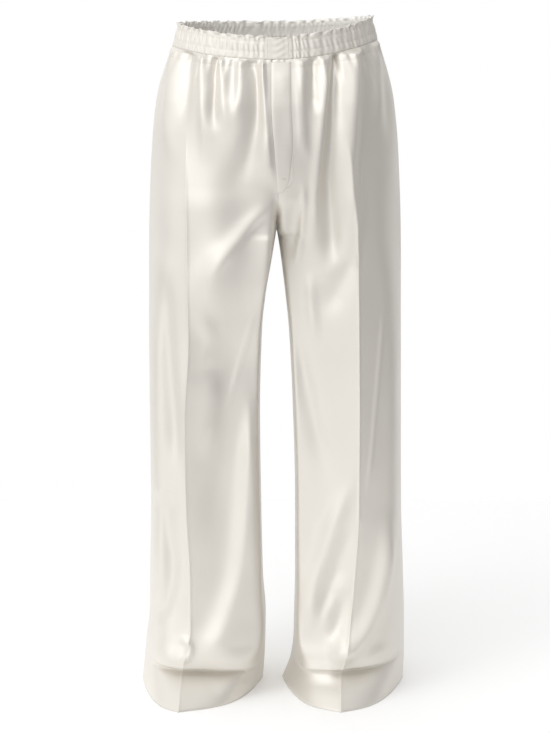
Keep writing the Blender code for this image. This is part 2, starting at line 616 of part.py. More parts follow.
def add_placket(material):
    """The fly placket: a flat strip on the left front, made from the panel's own rows moved out."""
    quarter = Quarter("left", "front")
    bottom = FLY_TOP - FLY_LENGTH
    levels = [z for z, columns in panel_levels(quarter)]
    own = list(np.linspace(bottom + FLY_WIDTH, bottom, FLY_END_ROWS))
    shared = [z for z in levels if bottom < z < FLY_TOP]
    own = [z for z in own if min(abs(z - level) for level in shared) > ROW_CLEARANCE]
    heights = sorted([FLY_TOP] + shared + own, reverse=True)
    rows = []
    for z in heights:
        edge = fly_edge(z)
        up = min(1.0, (z - bottom) / FLY_WIDTH)
        narrow = FLY_POINT * (1 - math.sqrt(max(0.0, 1 - (1 - up) ** 2)))
        u = np.linspace(edge + (1 - edge) * narrow, 1.0, FLY_COLUMNS)
        above = min(level for level in levels if level >= z)
        below = max(level for level in levels if level <= z)
        share = (z - below) / (above - below) if above > below else 0.0
        high, low = (quarter.wall(u, level, -PLACKET_WALL, SEAM_GAP) for level in (above, below))
        under, over = (low[side] + (high[side] - low[side]) * share for side in (0, 1))
        rows.append((over, under))
    points, faces = closed_wall(rows, [np.arange(FLY_COLUMNS)] * len(rows))
    return add_object("fly_placket", points, faces, material)


def satin(name):
    material = bpy.data.materials.new(name)
    material.use_nodes = True
    shader = material.node_tree.nodes["Principled BSDF"]
    shader.inputs["Base Color"].default_value = SATIN
    shader.inputs["Roughness"].default_value = SATIN_ROUGHNESS
    shader.inputs["Metallic"].default_value = 0.0
    return material


def main():
    for old in list(bpy.data.objects):
        bpy.data.objects.remove(old)
    cloth = satin("ivory_satin")
    for leg in ("right", "left"):
        for face in ("front", "back"):
            add_panel(leg, face, cloth)
    add_waistband(cloth)
    add_placket(cloth)
    add_waist_tab(cloth)


main()
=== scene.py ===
import math
import bpy
import numpy as np
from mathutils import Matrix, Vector


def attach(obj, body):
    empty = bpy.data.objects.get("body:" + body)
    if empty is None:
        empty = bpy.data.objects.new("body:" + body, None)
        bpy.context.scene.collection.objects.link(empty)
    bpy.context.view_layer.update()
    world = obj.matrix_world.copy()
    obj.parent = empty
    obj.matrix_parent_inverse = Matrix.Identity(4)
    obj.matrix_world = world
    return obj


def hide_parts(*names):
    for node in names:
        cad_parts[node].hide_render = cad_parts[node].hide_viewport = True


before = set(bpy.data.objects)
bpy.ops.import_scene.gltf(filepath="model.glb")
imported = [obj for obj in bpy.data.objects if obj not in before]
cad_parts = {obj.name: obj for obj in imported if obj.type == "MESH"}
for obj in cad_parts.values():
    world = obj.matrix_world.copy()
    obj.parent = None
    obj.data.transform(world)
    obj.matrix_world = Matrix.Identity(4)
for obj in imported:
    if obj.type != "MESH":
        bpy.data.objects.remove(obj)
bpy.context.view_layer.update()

# Ivory satin trousers, open and filled out as they are worn.
# Metres unless a name ends in Mm, +Z up, the wearer faces -Y. Right and left are the wearer's.


# form: the cut of the solids at a finer grain, with a sharper fold above the hems

form = dict(
    crotch=-0.302,        # height of the crotch point
    riseCurve=0.115,      # the centre seams curve under in this height
    seamHolds=3.2, seamTurns=0.42, seamSide=(0.62, 0.98),   # how sharply, and over which share of a panel
    riseBlend=0.170,      # the legs part in this height
    thighBelow=0.075, thighAbove=0.110,   # away from the inseam the thigh rounds out between these
    hem=-1.021,
    breakHeight=-0.971,   # where the cloth folds over above the hem
    breakReach=0.030,     # how far the fold reaches up and down
    breakTilt=0.011,      # the fold hangs lower towards the inseam
    bandHalf=0.015,       # half the waistband's height
    dipEnds=-0.130,       # below this the waist's tilt no longer moves the cloth
    dip=dict(front=-0.0205, back=-0.009, right=-0.0065, left=0.0035),
    flyWidth=0.028, flyTop=-0.019, flyLength=0.214, flyEase=0.010,
)


# a table has one row for each height, and named columns
def table(names, rows):
    return {name: np.array([row[i] for row in rows])[::-1] for i, name in enumerate(names.split())}


torso = table("z half front back", [
    (0.019, 0.1465, 0.107, 0.111), (-0.015, 0.1560, 0.115, 0.121), (-0.045, 0.1665, 0.124, 0.134),
    (-0.075, 0.1757, 0.131, 0.144), (-0.105, 0.1817, 0.136, 0.151), (-0.165, 0.1880, 0.140, 0.158),
    (-0.225, 0.1914, 0.143, 0.162), (-0.262, 0.1930, 0.155, 0.178), (-0.302, 0.1942, 0.150, 0.170)])
centreSeam = table("z x", [
    (0.020, -0.0044), (-0.095, -0.0040), (-0.184, 0.0015), (-0.229, 0.0050), (-0.302, 0.0025)])
legs = dict(
    right=table("z outer inner crease", [
        (-0.302, 0.1942, -0.0025, 0.1325), (-0.336, 0.1947, 0.0031, 0.1322), (-0.398, 0.1952, 0.0139, 0.1318),
        (-0.461, 0.1958, 0.0202, 0.1310), (-0.588, 0.1956, 0.0234, 0.1380), (-0.716, 0.1949, 0.0218, 0.1363),
        (-0.846, 0.1977, 0.0190, 0.1305), (-0.912, 0.1990, 0.0145, 0.1304), (-0.948, 0.2035, 0.0150, 0.1390),
        (-0.981, 0.2068, 0.0162, 0.1440), (-1.021, 0.2115, 0.0191, 0.1480)]),
    left=table("z outer inner crease", [
        (-0.302, 0.1942, 0.0025, 0.1239), (-0.336, 0.1947, 0.0077, 0.1252), (-0.398, 0.1952, 0.0155, 0.1267),
        (-0.461, 0.1958, 0.0218, 0.1275), (-0.588, 0.1969, 0.0281, 0.1288), (-0.716, 0.1981, 0.0314, 0.1287),
        (-0.846, 0.2024, 0.0316, 0.1215), (-0.912, 0.2046, 0.0301, 0.1140), (-0.948, 0.2049, 0.0294, 0.1095),
        (-0.981, 0.2052, 0.0255, 0.1020), (-1.021, 0.2035, 0.0112, 0.1004)]))
# a leg's side view: the depth of its creases, how far the cloth falls away beside them (below 0 it comes
# forward), and how square it stays towards the seams. Outer is from the crease to the side seam.
profile = table(
    "z front back rightOuter leftOuter outerSquare rightInner leftInner innerSquare backTilt backSquare", [
    (-0.262, 0.115, 0.140, 0.30, 0.34, 4.0, -0.10, 0.30, 22.0, 0.20, 4.0),
    (-0.302, 0.115, 0.140, 0.30, 0.36, 4.2, -0.13, 0.32, 50.0, 0.20, 4.0),
    (-0.360, 0.116, 0.136, 0.29, 0.38, 6.5, -0.10, 0.30, 90.0, 0.20, 4.5),
    (-0.430, 0.116, 0.131, 0.28, 0.38, 9.0, 0.06, 0.29, 100.0, 0.20, 5.0),
    (-0.510, 0.115, 0.128, 0.27, 0.38, 12.0, 0.20, 0.28, 100.0, 0.20, 5.0),
    (-0.700, 0.113, 0.122, 0.25, 0.36, 12.0, 0.25, 0.27, 100.0, 0.20, 5.0),
    (-0.800, 0.113, 0.121, 0.22, 0.32, 11.0, 0.20, 0.24, 90.0, 0.20, 4.5),
    (-0.880, 0.117, 0.121, 0.20, 0.28, 8.0, 0.16, 0.18, 70.0, 0.20, 4.0),
    (-0.930, 0.125, 0.121, 0.18, 0.22, 5.5, 0.14, 0.16, 40.0, 0.20, 4.0),
    (-0.956, 0.131, 0.121, 0.16, 0.18, 4.5, 0.12, 0.14, 15.0, 0.20, 4.0),
    (-0.9635, 0.130, 0.122, 0.16, 0.18, 4.2, 0.12, 0.14, 12.0, 0.20, 4.0),
    (-0.968, 0.111, 0.123, 0.16, 0.18, 4.1, 0.12, 0.14, 11.0, 0.20, 4.0),
    (-0.972, 0.109, 0.123, 0.16, 0.18, 4.0, 0.12, 0.14, 10.0, 0.20, 4.0),
    (-0.979, 0.124, 0.124, 0.18, 0.20, 3.8, 0.14, 0.16, 8.0, 0.20, 4.0),
    (-0.995, 0.152, 0.126, 0.22, 0.24, 3.6, 0.20, 0.20, 5.5, 0.20, 4.0),
    (-1.021, 0.184, 0.129, 0.26, 0.28, 3.4, 0.26, 0.26, 4.2, 0.20, 4.0)])
# the front's depth where the fold above the hem dies out
calmFront = table("z depth", [(-0.910, 0.121), (-0.950, 0.131), (-0.990, 0.146), (-1.021, 0.184)])
# in quarter turns from the wearer's left: where each panel's side seam stands, and which way the panel runs
quarters = dict(leftfront=(0, -1), leftback=(0, 1), rightback=(2, -1), rightfront=(-2, 1))
# the fold above the hem, in shares of a panel's width: deep in the middle, fading to the seams
breaks = dict(
    right=dict(least=0.20, deepens=(0.16, 0.40), fades=(0.66, 0.88)),
    left=dict(least=0.25, deepens=(0.06, 0.22), fades=(0.44, 0.58)),
)
tiny = 1e-12    # keeps a length above 0


def smooth(low, high, value):
    t = np.clip((value - low) / (high - low), 0.0, 1.0)
    return t * t * (3.0 - 2.0 * t)


def bell(middle, width, value):
    return np.exp(-(((value - middle) / width) ** 2))


# a column of a table at any height, on a smooth curve that never swings past its rows
def read(rows, column, z):
    heights, values = rows["z"], rows[column]
    z = np.clip(z, heights[0], heights[-1])
    rise = np.diff(values) / np.diff(heights)
    sameWay = rise[:-1] * rise[1:] > 0
    slope = np.zeros(len(values))
    slope[1:-1][sameWay] = (2.0 * rise[:-1] * rise[1:])[sameWay] / (rise[:-1] + rise[1:])[sameWay]
    slope[0], slope[-1] = rise[0], rise[-1]
    i = np.clip(np.searchsorted(heights, z) - 1, 0, len(heights) - 2)
    gap = heights[i + 1] - heights[i]
    t = (z - heights[i]) / gap
    return ((1 + 2 * t) * (1 - t) ** 2 * values[i] + t * (1 - t) ** 2 * gap * slope[i]
            + t * t * (3 - 2 * t) * values[i + 1] + t * t * (t - 1) * gap * slope[i + 1])


# angle round the waist at share u of a panel, from its side seam (0) to its centre seam or inseam (1)
def waistAngle(leg, face, u):
    start, way = quarters[leg + face]
    return (start + way * u) * math.pi / 2


# how much of the fold above the hem there is at share u of a panel
def breakShare(leg, u):
    own = breaks[leg]
    return own["least"] + (1 - own["least"]) * smooth(*own["deepens"], u) * (1 - smooth(*own["fades"], u))


# a leg's depth in front or behind at the crease
def legDepth(leg, face, u, low):
    if face == "back":
        return read(profile, "back", low)
    folding = bell(form["breakHeight"], form["breakReach"], low)
    lower = low + form["breakTilt"] * u * folding
    depth = read(profile, "front", lower)
    calm = np.interp(lower, calmFront["z"], calmFront["depth"])
    return depth + (calm - depth) * (1 - breakShare(leg, u)) * folding


# a panel before its folds, x and y at share u and height z: torso above, leg ring below, the rise between
def base(leg, face, u, z):
    xSign, ySign = (-1 if leg == "right" else 1), (-1 if face == "front" else 1)
    half, centre = xSign * read(torso, "half", z), read(centreSeam, "x", z)
    torsoX = centre + (half - centre) * np.cos(u * math.pi / 2)
    torsoY = ySign * read(torso, face, z) * np.sin(u * math.pi / 2)
    low = np.minimum(z, form["crotch"])
    above = z > form["crotch"]
    outer = np.where(above, half, xSign * read(legs[leg], "outer", low))
    inner = np.where(above, centre, xSign * read(legs[leg], "inner", low))
    crease = xSign * read(legs[leg], "crease", low) if face == "front" else (outer + inner) / 2
    depth = ySign * legDepth(leg, face, u, low)
    t = np.where(u < 0.5, 2 * u, 2 * (1 - u))
    edge = np.where(u < 0.5, outer, inner)
    away = 1 - t * t
    legX = crease + (edge - crease) * away
    if face == "back":
        tilt, square = read(profile, "backTilt", low), read(profile, "backSquare", low)
    else:
        tilt = np.where(u < 0.5, read(profile, leg + "Outer", low), read(profile, leg + "Inner", low))
        square = np.where(u < 0.5, read(profile, "outerSquare", low), read(profile, "innerSquare", low))
    share = 1 - tilt * away - (1 - tilt) * away ** square
    legPart = 1 - smooth(form["crotch"], form["crotch"] + form["riseBlend"], z)
    up = np.clip((z - form["crotch"]) / form["riseCurve"], 0.0, 1.0)
    seam = (1.0 - (1.0 - up) ** form["seamHolds"]) ** form["seamTurns"]
    filled = smooth(form["crotch"] - form["thighBelow"], form["crotch"] + form["thighAbove"], z)
    rounded = filled + (seam - filled) * smooth(*form["seamSide"], u)
    outerY = torsoY + (depth * share - torsoY) * legPart
    innerY = (torsoY + (depth - torsoY) * legPart) * (rounded + (1 - rounded) * share)
    return torsoX + (legX - torsoX) * legPart, np.where(u < 0.5, outerY, innerY)


def waistDip(leg, face, u):
    side, middle = form["dip"][leg], form["dip"][face]
    return side + (middle - side) * np.sin(u * math.pi / 2) ** 2


# gathers are uneven: their pitch drifts as they go round, in waves of a count, a size and a start
gathers = dict(
    count=56,
    drifts=((5, 1.6, 0.6), (11, 1.1, 2.0), (17, 0.7, 4.1)),
    plain=0.65, doubled=0.42, halved=0.20,    # a plain wave, one twice as fine and one half as fine
    doubledStart=1.1, doubledDrift=4, halvedStart=0.7,
)


def gatherPhase(angle):
    drift = sum(size * np.sin(count * angle + start) for count, size, start in gathers["drifts"])
    return gathers["count"] * angle + drift


def gatherWave(angle):
    phase = gatherPhase(angle)
    doubledPhase = 2 * phase + gathers["doubledStart"] + np.sin(gathers["doubledDrift"] * angle)
    halvedPhase = 0.5 * phase + gathers["halvedStart"]
    return (gathers["plain"] * np.sin(phase) + gathers["doubled"] * np.sin(doubledPhase)
            + gathers["halved"] * np.sin(halvedPhase))


# folds: each runs through its points in the front view, is wide (from start to end) and high, below 0 a
# trough, all in millimetres. A lean above 0 steepens the side on its right as it runs down. It fades in over
# the first share of its length and out over the last.

def fold(points, wide, high, lean=0.0, fades=(0.3, 0.4)):
    return dict(points=points, wide=wide, high=high, lean=lean, fades=fades)


foldTables = dict(
    rightfront=[
        # from the waist
        fold([(-150, -12), (-155, -49), (-160, -94), (-164, -138), (-156, -200)], (6, 12), 6.0, lean=-0.2,
             fades=(0, 0.4)),
        fold([(-130, -12), (-132, -60), (-136, -108), (-141, -150)], (8, 11), -7.5, fades=(0, 0.4)),
        fold([(-110, -12), (-108, -70), (-106, -140), (-103, -200)], (6, 14), 6.0, lean=-0.3, fades=(0, 0.5)),
        fold([(-104, -12), (-104, -40), (-106, -72)], (4, 4), 2.5, fades=(0, 0.6)),
        fold([(-88, -12), (-91, -64), (-93, -102), (-90, -145)], (4, 7), -6.5, fades=(0, 0.35)),
        fold([(-80, -12), (-76, -80), (-72, -150)], (5, 10), 5.0, fades=(0, 0.4)),
        fold([(-64, -12), (-63, -50), (-62, -95)], (5, 7), -2.5, fades=(0, 0.6)),
        fold([(-50, -12), (-51, -80), (-62, -145)], (5, 10), 5.0, lean=0.3, fades=(0, 0.4)),
        fold([(-34, -12), (-29, -60), (-28, -110), (-38, -168), (-56, -215), (-72, -245)], (4, 22), -10.0,
             fades=(0, 0.4)),
        fold([(-18, -12), (-17, -90), (-14, -142), (-15, -180)], (4, 8), 4.5, fades=(0, 0.4)),
        fold([(-7, -12), (-7, -90), (-8, -175)], (3, 4), 1.2, fades=(0, 0.4)),
        fold([(-12, -130), (-11, -180), (-13, -230)], (14, 15), 5.0, fades=(0.4, 0.4)),
        # down the thigh beside the crease, and across it from the crotch
        fold([(-98, -150), (-91, -225), (-86, -310), (-88, -390), (-93, -480)], (30, 34), 7.0,
             fades=(0.35, 0.3)),
        fold([(-24, -282), (-50, -312), (-80, -350), (-104, -395), (-118, -440)], (22, 30), 4.5, lean=0.2,
             fades=(0.35, 0.45)),
        fold([(4, -246), (-30, -274), (-66, -320), (-94, -360), (-112, -400)], (8, 18), 6.0, lean=0.3,
             fades=(0.25, 0.45)),
        # down the leg
        fold([(-126, -405), (-97, -458), (-118, -520)], (14, 14), 3.0, fades=(0.35, 0.35)),
        fold([(-100, -500), (-96, -560), (-108, -650)], (20, 16), 5.5, lean=0.2, fades=(0.3, 0.4)),
        fold([(-26, -400), (-53, -496), (-77, -585)], (4, 5), 2.0, fades=(0.3, 0.4)),
        fold([(-50, -390), (-64, -480), (-78, -590), (-92, -700), (-104, -820)], (18, 22), -4.5,
             fades=(0.4, 0.4)),
        fold([(-36, -530), (-40, -633), (-45, -754), (-53, -828), (-66, -877), (-88, -930), (-128, -962)],
             (14, 46), 15.0, lean=-0.4, fades=(0.25, 0.12)),
        fold([(-24, -640), (-24, -780), (-28, -905)], (4, 5), 1.5, fades=(0.3, 0.3)),
        fold([(-168, -340), (-167, -418), (-162, -500), (-156, -585), (-150, -680)], (15, 11), -7.0,
             fades=(0.2, 0.25)),
        fold([(-172, -690), (-168, -754), (-161, -804), (-165, -850), (-178, -890), (-194, -915)],
             (15, 12), -8.5, fades=(0.15, 0.2)),
        fold([(-148, -922), (-131, -932), (-134, -952), (-148, -954)], (5, 5), 3.5, fades=(0.25, 0.2)),
    ],
    leftfront=[
        # from the waist
        fold([(40, -12), (39, -90), (41, -150), (50, -190)], (4, 6), 5.5, fades=(0, 0.3)),
        fold([(60, -12), (57, -50), (57, -90), (61, -118)], (5, 7), -6.5, fades=(0, 0.3)),
        fold([(75, -12), (76, -60), (69, -150), (62, -230), (57, -330)], (7, 8), 6.5, lean=0.3,
             fades=(0, 0.3)),
        fold([(92, -12), (89, -70), (85, -150), (80, -215), (82, -290), (87, -365)], (5, 16), -10.0,
             fades=(0, 0.2)),
        fold([(117, -12), (117, -80), (113, -150), (112, -198), (118, -260), (124, -330)], (11, 14), 13.0,
             lean=0.2, fades=(0, 0.35)),
        fold([(150, -12), (154, -80), (157, -165)], (6, 9), 5.0, fades=(0, 0.5)),
        fold([(165, -30), (171, -100), (174, -180)], (5, 8), -3.5, fades=(0.2, 0.5)),
        fold([(25, -236), (27, -280), (32, -325)], (12, 12), -4.5, fades=(0.4, 0.4)),
        fold([(43, -205), (42, -270), (34, -330), (22, -352)], (4, 6), 4.0, fades=(0.3, 0.3)),
        fold([(103, -150), (111, -198), (120, -255), (125, -305), (127, -365)], (3, 3), 2.0,
             fades=(0.2, 0.2)),
        # across the thigh and down the leg
        fold([(124, -320), (98, -372), (66, -430)], (12, 22), -4.5, fades=(0.25, 0.4)),
        fold([(54, -350), (55, -400), (62, -470)], (8, 9), 3.0, fades=(0.3, 0.4)),
        fold([(30, -440), (46, -530), (66, -620), (84, -700)], (9, 18), -5.0, fades=(0.3, 0.4)),
        fold([(124, -660), (102, -720), (80, -790), (62, -850), (50, -930)], (14, 16), 8.0, lean=0.2,
             fades=(0.35, 0.2)),
        fold([(126, -735), (104, -790), (88, -845), (72, -900)], (12, 14), -5.0, fades=(0.25, 0.3)),
        fold([(108, -815), (90, -858), (72, -925)], (11, 12), 3.0, fades=(0.35, 0.3)),
        fold([(112, -845), (100, -885), (86, -930)], (12, 12), -3.5, fades=(0.3, 0.3)),
        fold([(166, -400), (157, -511), (149, -614), (140, -706)], (3, 3), 2.0, fades=(0.2, 0.2)),
        fold([(173, -715), (172, -790), (164, -850), (147, -900), (118, -938), (76, -957)], (11, 20), 15.0,
             lean=0.2, fades=(0.35, 0.15)),
    ],
    rightback=[
        fold([(-146, -15), (-152, -90), (-155, -175)], (8, 10), 4.5, fades=(0, 0.5)),
        fold([(-130, -15), (-133, -70), (-132, -130)], (6, 8), -4.5, fades=(0, 0.5)),
        fold([(-116, -15), (-118, -90), (-116, -190)], (8, 11), 5.0, fades=(0, 0.5)),
        fold([(-98, -15), (-98, -80), (-100, -150)], (6, 8), -5.0, fades=(0, 0.5)),
        fold([(-82, -15), (-84, -100), (-92, -200)], (8, 14), 5.0, fades=(0, 0.5)),
        fold([(-60, -15), (-58, -90), (-62, -210)], (6, 13), -6.0, fades=(0, 0.5)),
        fold([(-40, -15), (-40, -80), (-44, -150)], (6, 9), 4.5, fades=(0, 0.5)),
        fold([(-24, -15), (-24, -100), (-28, -180)], (5, 8), -4.0, fades=(0, 0.5)),
        fold([(-10, -15), (-11, -80), (-13, -140)], (4, 6), 3.5, fades=(0, 0.5)),
        fold([(-10, -262), (-50, -312), (-96, -372), (-128, -450)], (9, 18), 7.5, fades=(0.15, 0.5)),
        fold([(-14, -296), (-56, -352), (-90, -430)], (9, 16), -6.5, fades=(0.15, 0.5)),
        fold([(-30, -470), (-52, -620), (-84, -760), (-146, -905)], (8, 15), 7.5, lean=0.2, fades=(0.3, 0.3)),
        fold([(-24, -600), (-38, -740), (-60, -880)], (8, 12), -5.0, fades=(0.3, 0.3)),
        fold([(-164, -420), (-156, -560), (-160, -720)], (7, 8), 3.5, fades=(0.3, 0.3)),
        fold([(-150, -700), (-158, -800), (-132, -900)], (9, 11), 5.0, fades=(0.3, 0.3)),
    ],
    leftback=[
        fold([(12, -15), (12, -80), (14, -150)], (5, 7), 4.0, fades=(0, 0.5)),
        fold([(28, -15), (29, -100), (34, -190)], (6, 9), -4.5, fades=(0, 0.5)),
        fold([(46, -15), (46, -90), (52, -180)], (6, 11), 5.0, fades=(0, 0.5)),
        fold([(66, -15), (66, -100), (72, -220)], (6, 13), -6.0, fades=(0, 0.5)),
        fold([(88, -15), (90, -90), (90, -170)], (8, 10), 5.0, fades=(0, 0.5)),
        fold([(106, -15), (108, -80), (106, -140)], (6, 7), -4.5, fades=(0, 0.5)),
        fold([(124, -15), (128, -90), (128, -200)], (8, 11), 5.0, fades=(0, 0.5)),
        fold([(150, -15), (154, -80), (157, -150)], (7, 9), -3.5, fades=(0, 0.5)),
        fold([(12, -262), (54, -314), (98, -380), (122, -470)], (9, 18), 7.5, fades=(0.15, 0.5)),
        fold([(14, -300), (60, -356), (92, -440)], (9, 16), -6.5, fades=(0.15, 0.5)),
        fold([(44, -480), (62, -640), (92, -780), (150, -912)], (8, 15), 7.5, lean=-0.2, fades=(0.3, 0.3)),
        fold([(38, -640), (52, -760), (72, -890)], (8, 12), -5.0, fades=(0.3, 0.3)),
        fold([(162, -440), (152, -580), (150, -730)], (7, 8), 3.5, fades=(0.3, 0.3)),
        fold([(168, -690), (164, -790), (134, -890)], (9, 11), 5.0, fades=(0.3, 0.3)),
    ],
)


# one smooth curve through a fold's points
def foldLine(points, steps=10):
    points = np.array(points, float) * 0.001
    ends = np.vstack([2 * points[0] - points[1], points, 2 * points[-1] - points[-2]])
    line = []
    for a, b, c, d in zip(ends, ends[1:], ends[2:], ends[3:]):
        t = np.linspace(0, 1, steps, endpoint=False)[:, None]
        bend = (2 * a - 5 * b + 4 * c - d) * t * t + (3 * b - a - 3 * c + d) * t ** 3
        line.append(0.5 * (2 * b + (c - a) * t + bend))
    return np.vstack(line + [points[-1:]])


foldReach = 3.0    # widths from its line at which a fold has died out


def foldHeight(rows, x, z):
    total = np.zeros_like(x)
    for row in rows:
        line = foldLine(row["points"])
        run = np.concatenate([[0], np.cumsum(np.hypot(*np.diff(line, axis=0).T))])
        reach = foldReach * max(row["wide"]) * 0.001 * (1 + abs(row["lean"]))
        near = ((x > line[:, 0].min() - reach) & (x < line[:, 0].max() + reach)
                & (z > line[:, 1].min() - reach) & (z < line[:, 1].max() + reach))
        if not near.any():
            continue
        spot = np.stack([x[near], z[near]], -1)
        best = np.full(len(spot), np.inf)
        share, side = np.zeros(len(spot)), np.zeros(len(spot))
        for k in range(len(line) - 1):
            a, step = line[k], line[k + 1] - line[k]
            along = np.clip(((spot - a) @ step) / (step @ step), 0, 1)
            away = spot - (a + along[:, None] * step)
            distance = np.hypot(away[:, 0], away[:, 1])
            closer = distance < best
            best[closer] = distance[closer]
            share[closer] = ((run[k] + along * (run[k + 1] - run[k])) / run[-1])[closer]
            side[closer] = np.sign(step[0] * away[:, 1] - step[1] * away[:, 0])[closer]
        fadeIn, fadeOut = row["fades"]
        taper = (smooth(0, fadeIn, share) if fadeIn > 0 else 1.0) * (1 - smooth(1 - fadeOut, 1, share))
        start, end = row["wide"]
        width = (start + (end - start) * share) * 0.001 * (1 - row["lean"] * side)
        total[near] += row["high"] * 0.001 * taper * np.exp(-((best / width) ** 2))
    return total


# waistband: what its surface does, which the top of the panels follows

band = dict(
    columns=1300, rows=26,
    wallMm=1.4,
    gatherMm=0.85, puckerMm=0.25, puckerFiner=2.1, puckerLeans=9, puckerStart=1.0,
    stitchRows=(0.36, -0.13, -0.5),    # shares of the band's height where stitching draws it in
    pinchMm=0.40, pinchWidth=0.06, pinchFlattens=0.35,
    # the frill above the elastic: its height and flare, its waves against the gathers, and its rows
    headingMm=4.0, headingFlareMm=2.0,
    flareWave=(0.93, 0.8), riseWaves=((0.22, 0.61, 0.7), (0.10, 1.7, 0.0)),
    headingRows=(0.65, 0.8, 0.95, 1.1, 1.25, 1.5),
    tabPastCentre=0.002, tabEase=0.05,
)


def bandPuff(angles, heights):
    phase = gatherPhase(angles)
    pinch = sum(bell(row, band["pinchWidth"], heights) for row in band["stitchRows"])
    puff = band["gatherMm"] * gatherWave(angles) * (1 - band["pinchFlattens"] * pinch)
    pucker = np.sin(band["puckerFiner"] * phase + band["puckerLeans"] * heights + band["puckerStart"])
    return (puff + band["puckerMm"] * pucker - band["pinchMm"] * pinch) * 0.001


# panels

panelGrid = dict(
    front=(128, 368), back=(108, 300),  # columns and rows
    wallMm=0.6,
    tuckMm=3.0, tuckInMm=0.7,          # the top edge goes up inside the waistband
    tuckStarts=(0.0015, -0.001),       # and turns in between these, measured down from its seam
    easeMm=6.0,                        # below the waistband's seam the gathers open out
    gatherMm=2.4, gatherRun=0.030, gatherFall=1.5,        # how high, how far down, how fast they end
    gatherRunVaries=(0.45, 11, 1.0), gatherMmVaries=(0.2, 5),    # a share, a count round the waist, a start
    sideFade=(0.0, 0.10), inseamFade=(0.80, 0.95),       # folds die out at the side seam and the inseam
    creaseMm=0.8, creaseWidthMm=1.8, creaseSpan=0.35,   # the pressed ridge itself
    creaseStarts=dict(right=(-0.12, -0.30), left=(-0.31, -0.37)),   # the pressed ridge comes up between these
    seamMm=0.8, seamWidthMm=1.8, seamSpan=0.28,          # how far a seam draws the cloth in
    flatSeams=0.85,                    # the centre front seam and the inseam lie this much flatter in front
    rowHeight=-0.028, rowMm=0.30, rowWidthMm=2.2,        # a second row of stitching below the waistband
    slopeStep=0.002, slopeStepMiddle=0.028,              # shares of a panel over which its slope is read
    # how much closer rows stand at the gathers and at the break, and columns at the crease
    denseGathers=1.3, gatherSpan=(-0.16, -0.04), denseBreak=1.8, breakSpan=0.024,
    denseCrease=2.5, denseSpan=0.015, columnsAt=-0.55,
)
# long slow swells, so that no stretch of cloth is quite flat: each wave's count round, count down and start
swells = dict(
    highMm=0.7, round=0.33,
    waves=((38, 21, 0.3), (-55, 34, 1.9), (72, 12, 4.0), (24, 58, 2.6)),
    turns=dict(rightfront=0.0, leftfront=2.1, rightback=3.9, leftback=5.2),
)


# rows stand closer at the gathers and at the break above the hem
def panelHeights(count):
    grid = panelGrid
    top = -form["bandHalf"] + grid["tuckMm"] * 0.001
    z = np.linspace(top, form["hem"], 4001)
    dense = 1.0 + grid["denseGathers"] * smooth(*grid["gatherSpan"], z)
    dense = dense + grid["denseBreak"] * bell(form["breakHeight"], grid["breakSpan"], z)
    travelled = np.concatenate([[0], np.cumsum((dense[1:] + dense[:-1]) / 2)])
    return np.interp(np.linspace(0, travelled[-1], count + 1), travelled, z)


# columns stand evenly round the leg, and closer at the pressed crease
def panelColumns(leg, face, count):
    grid = panelGrid
    u = np.linspace(0, 1, 2001)
    x, y = base(leg, face, u, np.full_like(u, grid["columnsAt"]))
    closer = 1 + grid["denseCrease"] * bell(0.5, grid["denseSpan"], (u[1:] + u[:-1]) / 2)
    dense = np.hypot(np.diff(x), np.diff(y)) * closer
    travelled = np.concatenate([[0], np.cumsum(dense)])
    return np.interp(np.linspace(0, travelled[-1], count + 1), travelled, u)


def swell(leg, face, u, z):
    turn, around = swells["turns"][leg + face], u * swells["round"]
    waves = swells["waves"]
    total = sum(np.sin(a * around + b * z + c + turn * (i + 1)) for i, (a, b, c) in enumerate(waves))
    return total / len(waves) * swells["highMm"] * 0.001


